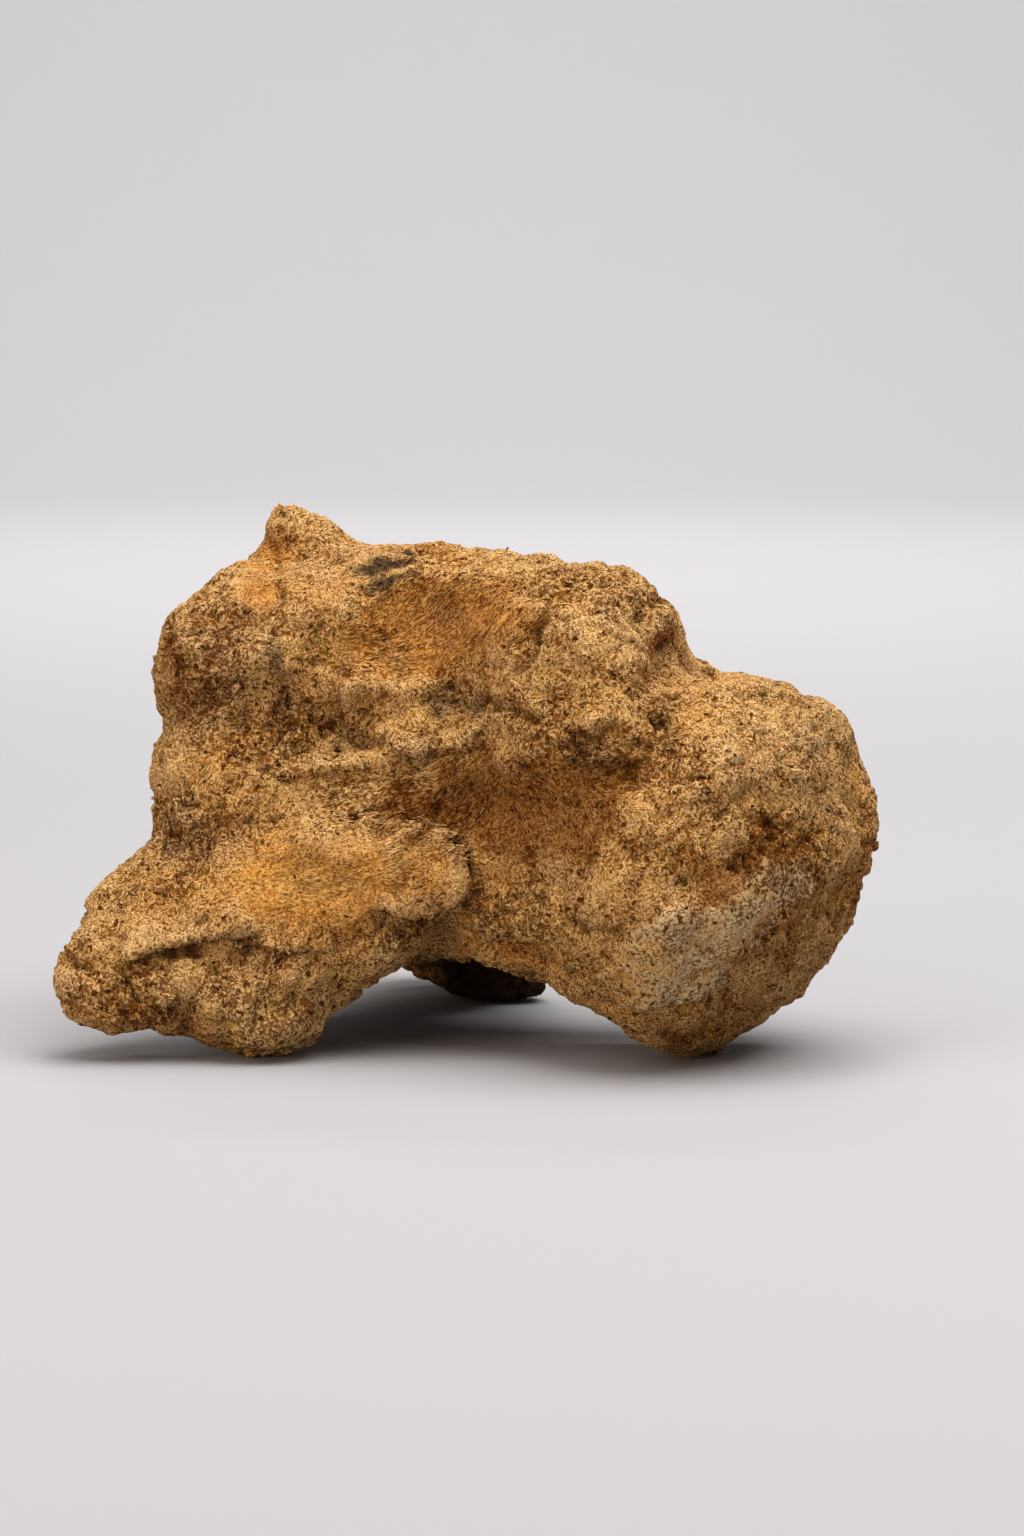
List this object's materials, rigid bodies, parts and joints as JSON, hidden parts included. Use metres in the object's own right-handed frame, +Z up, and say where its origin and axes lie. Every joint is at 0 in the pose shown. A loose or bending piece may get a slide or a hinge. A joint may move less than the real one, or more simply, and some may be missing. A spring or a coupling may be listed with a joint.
{
  "type": "fossil mosasaur vertebra",
  "caption": "Fossil vertebra of a large marine reptile: ball-ended centrum, hollow front joint, broken neural arch and splayed rib processes on which it rests.",
  "frame": {"origin": "on the floor, under the middle of the bone's bounding box", "axes": "+X from the hollow front joint face (cotyle) towards the ball (condyle), +Y towards the bone's right side, +Z up"},
  "size_m": [0.0968, 0.0894, 0.0705],
  "materials": {
    "fossil_bone": "dull, porous, ochre fossil bone"
  },
  "bodies": {
    "root": {"vertebra": "fossil_bone"}
  },
  "joints": []
}
